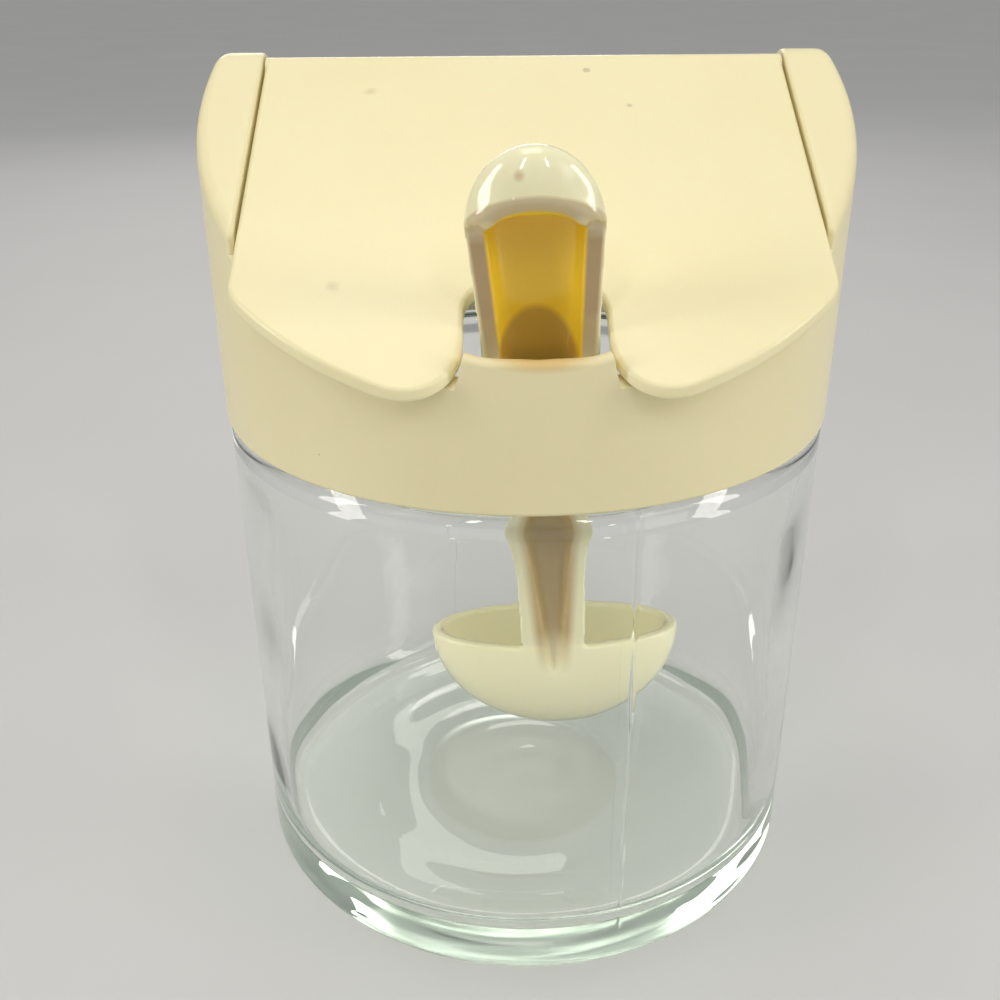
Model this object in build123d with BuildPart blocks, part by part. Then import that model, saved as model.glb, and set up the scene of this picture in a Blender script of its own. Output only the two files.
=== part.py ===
"""Sugar dispenser: a glass jar, a screw cap with a hinged sloping flap, and a spoon that stands in the flap's notch.

Millimetres. +Z is up, the front (spoon side) looks along -Y, and the origin is on the jar's axis at its foot.
"""

import os
from math import cos, radians, sin, tan

from build123d import *

# ---------------------------------------------------------------- fits
REST_GAP = 0.3  # between pieces that rest on each other but come apart
SIDE_GAP = 0.3  # between the flap and the cheeks beside it
PIN_CLEARANCE = 0.05  # radial, stub pin in its socket
THREAD_GAP = 0.7  # radial, room for the screw thread between the neck and the skirt

# ---------------------------------------------------------------- glass jar
JAR_RADIUS = 40.0
JAR_WALL = 2.8
FLOOR_THICKNESS = 5.0
HEEL_RADIUS = 3.0
FLOOR_CORNER_RADIUS = 5.0
PUNT_RADIUS = 15.5
PUNT_DEPTH = 0.8
SHOULDER_HEIGHT = 68.6
SHOULDER_RADIUS = 1.8
NECK_INSET = 2.1  # of the neck's outside, behind the body's
NECK_WALL = 2.0
NECK_HEIGHT = 13.0  # above the shoulder
NECK_LIP_RADIUS = 0.9
NECK_TAPER_LENGTH = 4.0  # inside, from the body's bore up to the neck's bore

# ---------------------------------------------------------------- cap
SKIRT_WALL = 1.7
SKIRT_FOOT_GAP = 0.3  # above the jar's shoulder
SKIRT_FOOT_FILLET = 0.5
RING_THICKNESS = 1.1  # the ring that seats on the glass rim
ROOF_THICKNESS = 1.7
RIDGE_SETBACK = 1.1  # behind the hinge axis
BACK_SLOPE = 33.0
CHEEK_RISE = 0.45  # above the flap's face
CHEEK_WIDTH = 7.1  # from the skirt's outside to the bay that the flap lies in
CHEEK_FILLET = 1.8
CHEEK_EDGE_FILLET = 0.5  # beside the flap
RIDGE_FILLET = 5.5
CHEEK_WALL = 1.7
CHEEK_WALL_DEPTH = 8.0  # below the hinge axis, square to the slope
BACK_WALL_DEPTH = 6.0  # below the hinge axis
BACK_WALL_GAP = 2.3  # behind the hinge barrel, so that the flap can lean back

# ---------------------------------------------------------------- lip in front of the spoon
LIP_RISE = 2.0  # of the middle of its dip, above the ring
LIP_DIP = 1.8  # how far its ends stand above the middle
LIP_FILLET = 0.75

# ---------------------------------------------------------------- flap
SLOPE = 29.0
HINGE_Y = 7.5
SLOPE_DIP = 0.55  # below the ring's top, where the slope through the hinge axis meets the skirt's front
BARREL_RADIUS = 2.2
FLAP_THICKNESS = 1.8
FLAP_OVERHANG = 3.9  # of its front edge, past the skirt
FLAP_CORNER_RADIUS = 4.0
FLAP_EDGE_FILLET = 0.6
PIN_RADIUS = 1.2
PIN_LENGTH = 1.9
NOTCH_HALF_WIDTH = 7.6
NOTCH_INSET = 7.7  # of the notch's back edge, behind the neck's bore
NOTCH_CORNER_RADIUS = 4.0
HORN_RADIUS = 6.2

# ---------------------------------------------------------------- spoon
SPOON_SHIFT = 0.5  # sideways, where it passes the lip
SPOON_SETBACK = 1.3  # behind the neck's bore, where it passes the lip
SPOON_LEAN = 8.0  # forwards at the top
SPOON_TILT = 2.7  # sideways at the top
SPOON_TWIST = 3.0  # about its own length
HOOK_THICKNESS = 0.9
HOOK_HALF_WIDTH = 5.3
HOOK_ROOT = 1.0  # how far its plate runs into the handle
HANDLE_WALL = 2.2
HANDLE_BACK_WALL = 1.4
HOOD_HEIGHT = 14.0  # of the hood's widest section, above the hook
HOOD_HALF_WIDTH = 7.05
HOOD_DEPTH = 4.1
HOOD_RISE = 8.2
HOOD_WALL = 3.6  # at its top
VISOR_ANGLE = 58.0
MID_HEIGHT = 7.0
MID_HALF_WIDTH = 6.6
MID_DEPTH = 4.05
HOOK_LEVEL_HALF_WIDTH = 6.25
HOOK_LEVEL_DEPTH = 4.0
SLEEVE_DROP = 19.0  # of the last wide section above the stem, below the hook
SLEEVE_HALF_WIDTH = 5.3
SLEEVE_DEPTH = 3.7
STEM_DROP = 27.0
STEM_HALF_WIDTH = 4.4
STEM_DEPTH = 3.4
FOOT_DROP = 45.0
FOOT_HALF_WIDTH = 3.9
FOOT_DEPTH = 2.6
CHANNEL_END_HALF_WIDTH = 0.8
CHANNEL_END_DEPTH = 0.6
BOWL_HALF_WIDTH = 15.6
BOWL_HALF_LENGTH = 7.5
BOWL_DEPTH = 13.5
BOWL_WALL = 1.4
BOWL_DROP = 41.5  # of the rim's centre, below the hook
BOWL_SETBACK = 7.0
BOWL_PITCH = 16.0

# ---------------------------------------------------------------- worked out from the above
JAR_BORE = JAR_RADIUS - JAR_WALL
NECK_RADIUS = JAR_RADIUS - NECK_INSET
NECK_INNER_RADIUS = NECK_RADIUS - NECK_WALL
NECK_TOP = SHOULDER_HEIGHT + NECK_HEIGHT
SKIRT_BORE = NECK_RADIUS + THREAD_GAP
SKIRT_RADIUS = SKIRT_BORE + SKIRT_WALL
SKIRT_FOOT = SHOULDER_HEIGHT + SKIRT_FOOT_GAP
RING_FOOT = NECK_TOP + REST_GAP
RING_TOP = RING_FOOT + RING_THICKNESS
HINGE_Z = RING_TOP - SLOPE_DIP + (HINGE_Y + SKIRT_RADIUS) * tan(radians(SLOPE))
RIDGE_Y = HINGE_Y + RIDGE_SETBACK
RECESS_HALF_WIDTH = SKIRT_RADIUS - CHEEK_WIDTH
RECESS_LIFT = BARREL_RADIUS - FLAP_THICKNESS - REST_GAP
CHEEK_LIFT = BARREL_RADIUS + CHEEK_RISE
BACK_WALL_Y = HINGE_Y + BARREL_RADIUS + BACK_WALL_GAP
FLAP_HALF_WIDTH = RECESS_HALF_WIDTH - SIDE_GAP
FLAP_FRONT_RADIUS = SKIRT_RADIUS + FLAP_OVERHANG  # about the jar's axis
NOTCH_BACK = NOTCH_INSET - NECK_INNER_RADIUS
LIP_LOW = RING_TOP + LIP_RISE
LIP_HALF_WIDTH = NOTCH_HALF_WIDTH - SIDE_GAP
LIP_TOP = LIP_LOW + LIP_DIP
HOOK_REACH = SKIRT_BORE - REST_GAP
SMALL = 1e-3  # length below which two places count as one
REACH = 3 * JAR_RADIUS  # longer than the whole dispenser, for cutting shapes


def on_slope(y, lift):
    """Height at y of the plane that lies lift above the hinge axis, measured square to the slope."""
    return HINGE_Z + (y - HINGE_Y) * tan(radians(SLOPE)) + lift / cos(radians(SLOPE))


RIDGE_Z = on_slope(RIDGE_Y, CHEEK_LIFT)
# Side view of the hinge: local X runs up the slope and local Y stands square to it.
slope_side = Plane(
    origin=(0, HINGE_Y, HINGE_Z),
    x_dir=(0, cos(radians(SLOPE)), sin(radians(SLOPE))),
    z_dir=(1, 0, 0),
)


def gable(inset):
    """Side outline under the front slope and the back slope, drawn in by inset all round."""
    front, back = radians(SLOPE), radians(BACK_SLOPE)
    drop = inset / cos(front)
    back_drop = inset / cos(back)
    shift = (back_drop - drop) / (tan(front) + tan(back))
    ridge = (RIDGE_Y - shift, RIDGE_Z - drop - shift * tan(front))
    return Polyline(
        ridge,
        (ridge[0] + REACH, ridge[1] - REACH * tan(back)),
        (ridge[0] + REACH, -REACH),
        (ridge[0] - REACH, -REACH),
        (ridge[0] - REACH, ridge[1] - REACH * tan(front)),
        close=True,
    )


# ---------------------------------------------------------------- glass jar
with BuildPart() as glass_jar:
    with BuildSketch(Plane.XZ):
        with BuildLine():
            Polyline(
                (0, PUNT_DEPTH),
                (PUNT_RADIUS, PUNT_DEPTH),
                (PUNT_RADIUS + PUNT_DEPTH, 0),
                (JAR_RADIUS, 0),
                (JAR_RADIUS, SHOULDER_HEIGHT),
                (NECK_RADIUS, SHOULDER_HEIGHT),
                (NECK_RADIUS, NECK_TOP),
                (NECK_INNER_RADIUS, NECK_TOP),
                (NECK_INNER_RADIUS, SHOULDER_HEIGHT),
                (JAR_BORE, SHOULDER_HEIGHT - NECK_TAPER_LENGTH),
                (JAR_BORE, FLOOR_THICKNESS),
                (0, FLOOR_THICKNESS),
                close=True,
            )
        make_face()
    revolve(axis=Axis.Z)
    rings = glass_jar.edges().filter_by(GeomType.CIRCLE)
    heel = rings.filter_by(lambda e: e.radius > JAR_RADIUS - SMALL and e.center().Z < 1)
    fillet(heel, HEEL_RADIUS)
    rings = glass_jar.edges().filter_by(GeomType.CIRCLE)
    fillet(rings.filter_by(lambda e: abs(e.center().Z - FLOOR_THICKNESS) < SMALL), FLOOR_CORNER_RADIUS)
    rings = glass_jar.edges().filter_by(GeomType.CIRCLE)
    fillet(rings.filter_by(lambda e: abs(e.center().Z - NECK_TOP) < SMALL), NECK_LIP_RADIUS)
    rings = glass_jar.edges().filter_by(GeomType.CIRCLE)
    shoulder = rings.filter_by(lambda e: e.radius > JAR_RADIUS - SMALL and e.center().Z > SHOULDER_HEIGHT - 1)
    fillet(shoulder, SHOULDER_RADIUS)

# ---------------------------------------------------------------- outline of the flap, seen from above
with BuildSketch() as flap_plan:
    with Locations((0, HINGE_Y + BARREL_RADIUS)):
        Rectangle(2 * FLAP_HALF_WIDTH, REACH, align=(Align.CENTER, Align.MAX))
    Circle(FLAP_FRONT_RADIUS, mode=Mode.INTERSECT)
    with Locations((0, NOTCH_BACK)):
        Rectangle(2 * NOTCH_HALF_WIDTH, REACH, align=(Align.CENTER, Align.MAX), mode=Mode.SUBTRACT)
    corners = flap_plan.vertices().filter_by(lambda v: v.Y < NOTCH_BACK + 1)
    fillet(corners.filter_by(lambda v: abs(v.X) > FLAP_HALF_WIDTH - 1), FLAP_CORNER_RADIUS)
    corners = flap_plan.vertices().filter_by(lambda v: abs(abs(v.X) - NOTCH_HALF_WIDTH) < SMALL)
    fillet(corners.filter_by(lambda v: v.Y < NOTCH_BACK - 1), HORN_RADIUS)
    corners = flap_plan.vertices().filter_by(lambda v: abs(v.Y - NOTCH_BACK) < SMALL)
    fillet(corners, NOTCH_CORNER_RADIUS)

# ---------------------------------------------------------------- cap
# The hollow under the roof, less the walls that stand beside and behind the flap.
with BuildPart() as roof_hollow:
    with BuildSketch(Plane.XY.offset(RING_TOP)):
        Circle(SKIRT_BORE)
    extrude(amount=REACH)
    with BuildSketch(Plane.YZ):
        with BuildLine():
            gable(ROOF_THICKNESS)
        make_face()
    extrude(amount=REACH, both=True, mode=Mode.INTERSECT)
    for side in (-1, 1):
        wall_side = slope_side.offset(side * (RECESS_HALF_WIDTH + CHEEK_WALL / 2))
        with BuildSketch(wall_side):
            with Locations((0, -CHEEK_WALL_DEPTH)):
                Rectangle(2 * REACH, REACH, align=(Align.CENTER, Align.MIN))
        extrude(amount=CHEEK_WALL / 2, both=True, mode=Mode.SUBTRACT)
    with BuildSketch(Plane.XY.offset(HINGE_Z - BACK_WALL_DEPTH)):
        with Locations((0, BACK_WALL_Y)):
            Rectangle(2 * RECESS_HALF_WIDTH, ROOF_THICKNESS, align=(Align.CENTER, Align.MIN))
    extrude(amount=REACH, mode=Mode.SUBTRACT)

# The lip: the skirt wall carried up between the flap's horns, dipped for the spoon.
with BuildPart() as lip:
    with BuildSketch(Plane.XY.offset(RING_FOOT)):
        Circle(SKIRT_RADIUS)
        Circle(SKIRT_BORE, mode=Mode.SUBTRACT)
        with Locations((0, 0)):
            Rectangle(4 * LIP_HALF_WIDTH, REACH, align=(Align.CENTER, Align.MAX), mode=Mode.INTERSECT)
    extrude(amount=LIP_TOP + LIP_DIP - RING_FOOT)
    dip_radius = (LIP_HALF_WIDTH**2 + LIP_DIP**2) / (2 * LIP_DIP)
    with BuildSketch(Plane.XZ):
        with Locations((0, LIP_LOW + dip_radius)):
            Circle(dip_radius)
    extrude(amount=REACH, mode=Mode.SUBTRACT)
    # The horns' way past its ends: they swing out a little as they rise.
    with BuildSketch(Plane.XY.offset(on_slope(-SKIRT_RADIUS, RECESS_LIFT))):
        add(flap_plan.sketch)
        offset(amount=SIDE_GAP)
    extrude(amount=REACH, dir=(0, LIP_LOW - HINGE_Z, HINGE_Y + SKIRT_RADIUS), mode=Mode.SUBTRACT)
    crest = lip.edges().filter_by(lambda e: abs(e.center().X) < SMALL and abs(e.position_at(0.5).Z - LIP_LOW) < SMALL)
    fillet(crest, LIP_FILLET)

with BuildPart() as cap:
    with BuildSketch(Plane.XY.offset(SKIRT_FOOT)):
        Circle(SKIRT_RADIUS)
    extrude(amount=REACH)
    with BuildSketch(Plane.YZ):
        with BuildLine():
            gable(0)
        make_face()
    extrude(amount=REACH, both=True, mode=Mode.INTERSECT)
    fillet(cap.edges().filter_by(Axis.X), RIDGE_FILLET)
    roof = cap.faces().filter_by(lambda f: 0.3 < f.normal_at().Z)
    fillet(roof.edges().filter_by(Axis.X, reverse=True), CHEEK_FILLET)
    fillet(cap.faces().sort_by(Axis.Z)[0].edges(), SKIRT_FOOT_FILLET)
    # The bay that the flap lies in, with the trough round its hinge barrel.
    with BuildSketch(slope_side):
        with Locations((0, RECESS_LIFT)):
            Rectangle(REACH, REACH, align=(Align.MAX, Align.MIN))
        Circle(BARREL_RADIUS + REST_GAP)
    extrude(amount=RECESS_HALF_WIDTH, both=True, mode=Mode.SUBTRACT)
    with BuildSketch(Plane.XY.offset(HINGE_Z)):
        with Locations((0, BACK_WALL_Y)):
            Rectangle(2 * RECESS_HALF_WIDTH, BACK_WALL_Y - HINGE_Y + BARREL_RADIUS, align=(Align.CENTER, Align.MAX))
    extrude(amount=REACH, mode=Mode.SUBTRACT)
    # Soft inner edges of the cheeks, where they stand above the flap.
    beside = cap.edges().filter_by(lambda e: abs(abs(e.center().X) - RECESS_HALF_WIDTH) < SMALL)
    fillet(beside.filter_by(lambda e: e.center().Z > on_slope(e.center().Y, BARREL_RADIUS)), CHEEK_EDGE_FILLET)
    add(roof_hollow.part, mode=Mode.SUBTRACT)
    # The skirt's bore below the ring, and the mouth through the ring.
    with BuildSketch(Plane.XY.offset(SKIRT_FOOT)):
        Circle(SKIRT_BORE)
    extrude(amount=RING_FOOT - SKIRT_FOOT, mode=Mode.SUBTRACT)
    with BuildSketch(Plane.XY.offset(RING_FOOT)):
        Circle(NECK_INNER_RADIUS)
    extrude(amount=RING_THICKNESS, mode=Mode.SUBTRACT)
    add(lip.part)
    # Sockets for the flap's stub pins.
    with BuildSketch(slope_side):
        Circle(PIN_RADIUS + PIN_CLEARANCE)
    extrude(amount=RECESS_HALF_WIDTH + CHEEK_WALL + SIDE_GAP, both=True, mode=Mode.SUBTRACT)

# ---------------------------------------------------------------- flap
with BuildPart() as flap:
    with BuildSketch(slope_side):
        with Locations((0, BARREL_RADIUS - FLAP_THICKNESS)):
            Rectangle(REACH, FLAP_THICKNESS, align=(Align.MAX, Align.MIN))
    extrude(amount=FLAP_HALF_WIDTH, both=True)
    with BuildSketch():
        add(flap_plan.sketch)
    extrude(amount=REACH, mode=Mode.INTERSECT)
    both_faces = flap.faces().filter_by(lambda f: abs(f.normal_at().Z) > cos(radians(SLOPE)) - SMALL)
    fillet(both_faces.edges().filter_by(lambda e: e.center().Y < HINGE_Y - BARREL_RADIUS), FLAP_EDGE_FILLET)
    # The hinge barrel along its rear edge, and the stub pins.
    with BuildSketch(slope_side):
        Circle(BARREL_RADIUS)
    extrude(amount=FLAP_HALF_WIDTH, both=True)
    with BuildSketch(slope_side):
        Circle(PIN_RADIUS)
    extrude(amount=FLAP_HALF_WIDTH + PIN_LENGTH, both=True)

# ---------------------------------------------------------------- spoon
seat = (
    Location((SPOON_SHIFT, SPOON_SETBACK - NECK_INNER_RADIUS, LIP_LOW))
    * Location((0, 0, 0), (0, 0, -SPOON_TWIST))
    * Location((0, 0, 0), (0, -SPOON_TILT, 0))
    * Location((0, 0, 0), (SPOON_LEAN, 0, 0))
)
spoon_plane = Plane(seat)
spoon_side = Plane(seat * Plane.YZ.location)


def ellipsoid(half_width, half_depth, half_height):
    """An ellipsoid about the origin."""
    return scale(Sphere(1), by=(half_width, half_depth, half_height))


hood = seat * Pos(0, 0, HOOD_HEIGHT) * ellipsoid(HOOD_HALF_WIDTH, HOOD_DEPTH, HOOD_RISE)
hood_bore = seat * Pos(0, 0, HOOD_HEIGHT) * ellipsoid(
    HOOD_HALF_WIDTH - HANDLE_WALL, HOOD_DEPTH - HANDLE_BACK_WALL, HOOD_RISE - HOOD_WALL
)
bowl_seat = seat * Location((0, BOWL_SETBACK, -BOWL_DROP), (-BOWL_PITCH, 0, 0))
bowl_outside = bowl_seat * ellipsoid(BOWL_HALF_WIDTH, BOWL_HALF_LENGTH, BOWL_DEPTH)
bowl_inside = bowl_seat * ellipsoid(
    BOWL_HALF_WIDTH - BOWL_WALL, BOWL_HALF_LENGTH - BOWL_WALL, BOWL_DEPTH - BOWL_WALL
)
# Sections of the handle, from its foot up to the hood: height, half width, depth.
handle_sections = (
    (-FOOT_DROP, FOOT_HALF_WIDTH, FOOT_DEPTH),
    (-STEM_DROP, STEM_HALF_WIDTH, STEM_DEPTH),
    (-SLEEVE_DROP, SLEEVE_HALF_WIDTH, SLEEVE_DEPTH),
    (0, HOOK_LEVEL_HALF_WIDTH, HOOK_LEVEL_DEPTH),
    (MID_HEIGHT, MID_HALF_WIDTH, MID_DEPTH),
    (HOOD_HEIGHT, HOOD_HALF_WIDTH, HOOD_DEPTH),
)

# The bore of the handle and the hollow of the bowl, cut out of the spoon in one go.
with BuildPart() as spoon_hollow:
    for height, half_width, depth in handle_sections:
        with BuildSketch(spoon_plane.offset(height)):
            if height == -FOOT_DROP:
                Ellipse(CHANNEL_END_HALF_WIDTH, CHANNEL_END_DEPTH)
            else:
                Ellipse(half_width - HANDLE_WALL, depth - HANDLE_BACK_WALL)
    loft()
    add(hood_bore)

with BuildPart() as bowl:
    add(bowl_outside)
    split(bisect_by=Plane(bowl_seat), keep=Keep.BOTTOM)

with BuildPart() as bowl_hollow:
    add(bowl_inside)
    split(bisect_by=Plane(bowl_seat), keep=Keep.BOTTOM)

with BuildPart() as spoon:
    for height, half_width, depth in handle_sections:
        with BuildSketch(spoon_plane.offset(height)):
            Ellipse(half_width, depth)
    loft()
    add(hood)
    # The open front below the visor.
    with BuildSketch(spoon_side):
        with BuildLine():
            Polyline(
                (0, HOOD_HEIGHT),
                (-REACH, HOOD_HEIGHT + REACH * tan(radians(VISOR_ANGLE))),
                (-REACH, -REACH),
                (0, -REACH),
                close=True,
            )
        make_face()
    extrude(amount=REACH, both=True, mode=Mode.SUBTRACT)
    add(bowl.part)
    add(spoon_hollow.part, mode=Mode.SUBTRACT)
    add(bowl_hollow.part, mode=Mode.SUBTRACT)
    # The hook, a level plate from the handle's flanges out over the cap's ring.
    with BuildSketch(Plane.XY.offset(RING_TOP + REST_GAP)):
        with Locations((SPOON_SHIFT, -HOOK_REACH)):
            Rectangle(2 * HOOK_HALF_WIDTH, HOOK_REACH - NECK_INNER_RADIUS + SPOON_SETBACK + HOOK_ROOT,
                      align=(Align.CENTER, Align.MIN))
        Circle(HOOK_REACH, mode=Mode.INTERSECT)
    extrude(amount=HOOK_THICKNESS)

# ---------------------------------------------------------------- export
os.makedirs("parts", exist_ok=True)
pieces = {"glass_jar": glass_jar, "cap": cap, "flap": flap, "spoon": spoon}
for name, piece in pieces.items():
    piece.part.label = name
    export_step(piece.part, f"parts/{name}.step")
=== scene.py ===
"""Sugar dispenser: a glass jar, a cream screw cap with a hinged sloping flap, and a milky plastic spoon.

The jar is turned again here with its seams, thread and waves. The cap gets the full crest of its lip,
the flap its thumb dips, and the spoon is cast again with the soft edges of its mould.
Lengths of the pieces are written in millimetres and scaled to metres where a mesh is made. The room and the
camera are in metres.
"""

from math import cos, exp, pi, radians, sin

import bmesh
import bpy
from mathutils import Euler, Matrix, Vector


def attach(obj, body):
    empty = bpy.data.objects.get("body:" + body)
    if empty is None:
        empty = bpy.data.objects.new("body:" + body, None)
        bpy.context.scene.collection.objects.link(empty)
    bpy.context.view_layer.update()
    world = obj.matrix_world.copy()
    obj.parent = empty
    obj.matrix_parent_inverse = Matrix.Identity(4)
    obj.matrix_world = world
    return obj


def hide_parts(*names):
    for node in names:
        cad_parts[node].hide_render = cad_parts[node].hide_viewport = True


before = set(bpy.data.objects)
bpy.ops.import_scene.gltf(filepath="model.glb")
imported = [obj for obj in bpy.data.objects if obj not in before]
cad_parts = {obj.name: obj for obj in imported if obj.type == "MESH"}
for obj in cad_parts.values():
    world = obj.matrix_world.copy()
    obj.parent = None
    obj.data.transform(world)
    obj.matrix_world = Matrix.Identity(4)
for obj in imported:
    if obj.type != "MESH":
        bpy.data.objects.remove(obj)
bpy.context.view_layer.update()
MM = 0.001

# ---------------------------------------------------------------- colours
WHITE = (1, 1, 1, 1)
CREAM = (0.88, 0.80, 0.50, 1)
LID_CREAM = (0.90, 0.82, 0.51, 1)
CLOUD_TINT = (0.95, 0.90, 0.78, 1)  # multiplied into a plastic where it is cloudy
DIRT = (0.42, 0.33, 0.17, 1)
# painted reflection: the amber of the handle, painted along the lip's crest
PAINTED_LIP_REFLECTION = (0.72, 0.47, 0.13, 1)
MILKY = (0.99, 0.94, 0.64, 1)
# painted shade: the darker tan of the handle's flanges and the hood's brow
FLANGE_SHADE = (0.50, 0.36, 0.18, 1)
# painted light in the handle's channel: an amber glow, and a painted arch of shade in a darker amber
PAINTED_AMBER_GLOW = (1.0, 0.67, 0.045, 1)
SHADED_AMBER = (0.62, 0.40, 0.07, 1)
CORE = (0.58, 0.42, 0.17, 1)  # of the handle's channel below the cap
GATE_BROWN = (0.60, 0.42, 0.24, 1)
GLASS_TINT = (0.66, 0.80, 0.64, 1)
WORN_GLASS = (0.90, 0.89, 0.85, 1)
WINDOW_GLASS = (0.93, 0.95, 0.94, 1)  # of the glass as lamps shine through it
LAMP_COLOUR = (1.0, 0.97, 0.92)
WALLS = (0.10, 0.10, 0.10, 1)
CEILING = (0.56, 0.56, 0.55, 1)
TABLE_GREYS = ((0.56, 0.56, 0.56, 1), (0.62, 0.62, 0.62, 1))


# ---------------------------------------------------------------- shader helpers
def new_material(name):
    """A node material and its Principled shader."""
    material = bpy.data.materials.new(name)
    material.use_nodes = True
    return material, material.node_tree, material.node_tree.nodes["Principled BSDF"]


def node(tree, kind, **values):
    """A node with its properties, or its inputs where the name is a socket's."""
    made = tree.nodes.new(kind)
    for key, value in values.items():
        if hasattr(made, key):
            setattr(made, key, value)
        else:
            made.inputs[key.replace("_", " ")].default_value = value
    return made


def feed(tree, socket, value):
    """Links the socket to another one, or sets it to a plain value."""
    if hasattr(value, "is_output"):
        tree.links.new(value, socket)
    else:
        socket.default_value = value


def object_coordinates(tree):
    return node(tree, "ShaderNodeTexCoord").outputs["Object"]


def noise(tree, place, scale, detail=2.0, roughness=0.5):
    made = node(tree, "ShaderNodeTexNoise", Scale=scale, Detail=detail, Roughness=roughness)
    tree.links.new(place, made.inputs["Vector"])
    return made.outputs["Fac"]


def span(tree, value, from_low, from_high, to_low=0.0, to_high=1.0):
    """value, taken from one range to another and held inside it."""
    made = node(tree, "ShaderNodeMapRange", clamp=True)
    limits = {"From Min": from_low, "From Max": from_high, "To Min": to_low, "To Max": to_high}
    for name, number in limits.items():
        made.inputs[name].default_value = number
    tree.links.new(value, made.inputs["Value"])
    return made.outputs["Result"]


def maths(tree, operation, *values):
    """A Math node fed by sockets or numbers."""
    made = node(tree, "ShaderNodeMath", operation=operation)
    for socket, value in zip(made.inputs, values):
        feed(tree, socket, value)
    return made.outputs[0]


def length_of(tree, *parts):
    """The length of a vector put together from up to three sockets or numbers."""
    joined = node(tree, "ShaderNodeCombineXYZ")
    for socket, value in zip(joined.inputs, parts):
        feed(tree, socket, value)
    measured = node(tree, "ShaderNodeVectorMath", operation="LENGTH")
    tree.links.new(joined.outputs[0], measured.inputs[0])
    return measured.outputs["Value"]


def mix_colour(tree, factor, first, second, blend="MIX"):
    """The first colour, mixed with the second by the factor."""
    made = node(tree, "ShaderNodeMix", data_type="RGBA", blend_type=blend)
    sockets = {s.identifier: s for s in made.inputs}
    for identifier, value in (("Factor_Float", factor), ("A_Color", first), ("B_Color", second)):
        feed(tree, sockets[identifier], value)
    return next(s for s in made.outputs if s.identifier == "Result_Color")


def new_group(name, inputs, outputs):
    """A shader node group with its sockets: name to (kind, default)."""
    group = bpy.data.node_groups.new(name, "ShaderNodeTree")
    for label, (kind, value) in inputs.items():
        socket = group.interface.new_socket(label, in_out="INPUT", socket_type=f"NodeSocket{kind}")
        socket.default_value = value
    for label, kind in outputs.items():
        group.interface.new_socket(label, in_out="OUTPUT", socket_type=f"NodeSocket{kind}")
    return group, group.nodes.new("NodeGroupInput"), group.nodes.new("NodeGroupOutput")


def place_group(tree, group, **values):
    """A copy of the group in this material, with its own values."""
    made = tree.nodes.new("ShaderNodeGroup")
    made.node_tree = group
    for key, value in values.items():
        feed(tree, made.inputs[key.replace("_", " ")], value)
    return made


def add_bump(tree, shader, height, strength, distance):
    """Raises the shader's surface by a height from 0 to 1 times the distance."""
    bump = node(tree, "ShaderNodeBump", Strength=strength, Distance=distance)
    tree.links.new(height, bump.inputs["Height"])
    tree.links.new(bump.outputs["Normal"], shader.inputs["Normal"])


# ---------------------------------------------------------------- effects shared by the plastics
SPECK_WANDER = 0.06  # how far a speck's outline strays, in cells
SPECK_RARITY = 0.8  # a cell holds a speck where its random value is above this


def moulded_skin_group():
    """Faint clouding of the colour, a fine pebble on the surface and smears that dull the gloss."""
    inputs = {
        "Colour": ("Color", WHITE),
        "Cloud": ("Float", 0.1),
        "Gloss": ("Float", 0.3),
        "Smear": ("Float", 0.1),
    }
    outputs = {"Colour": "Color", "Roughness": "Float", "Height": "Float"}
    group, given, out = new_group("moulded_skin", inputs, outputs)
    place = object_coordinates(group)
    cloud = span(group, noise(group, place, scale=45.0, detail=4.0), 0.35, 0.75)
    depth = maths(group, "MULTIPLY", cloud, given.outputs["Cloud"])
    darker = mix_colour(group, 1.0, given.outputs["Colour"], CLOUD_TINT, "MULTIPLY")
    group.links.new(mix_colour(group, depth, given.outputs["Colour"], darker), out.inputs["Colour"])
    smear = span(group, noise(group, place, scale=70.0, detail=6.0, roughness=0.62), 0.45, 0.72)
    dull = maths(group, "MULTIPLY_ADD", smear, given.outputs["Smear"], given.outputs["Gloss"])
    group.links.new(dull, out.inputs["Roughness"])
    group.links.new(noise(group, place, scale=1500.0, detail=3.0), out.inputs["Height"])
    return group


def specks_group():
    """Sparse dark specks of ragged outline: a mask from 0 to 1."""
    inputs = {"Scale": ("Float", 60.0), "Size": ("Float", 0.05)}
    group, given, out = new_group("dirt_specks", inputs, {"Mask": "Float"})
    place = object_coordinates(group)
    cells = node(group, "ShaderNodeTexVoronoi", feature="F1")
    group.links.new(place, cells.inputs["Vector"])
    group.links.new(given.outputs["Scale"], cells.inputs["Scale"])
    stray = noise(group, place, scale=900.0)
    ragged = maths(group, "MULTIPLY_ADD", stray, SPECK_WANDER, cells.outputs["Distance"])
    near = maths(group, "LESS_THAN", ragged, given.outputs["Size"])
    rare = node(group, "ShaderNodeSeparateColor")
    group.links.new(cells.outputs["Color"], rare.inputs["Color"])
    chosen = maths(group, "GREATER_THAN", rare.outputs["Red"], SPECK_RARITY)
    group.links.new(maths(group, "MULTIPLY", near, chosen), out.inputs["Mask"])
    return group


moulded_skin = moulded_skin_group()
dirt_specks = specks_group()


# The painted amber reflection of the handle on the lip's crest, a warm glow: x and z of its middle, its
# reach along x and z, and y where it sets in and where it is full.
GLOW_MIDDLE = (0.52, 86.4)
GLOW_REACH = (5.2, 1.3)
GLOW_FRONT = (-36.0, -38.0)


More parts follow.
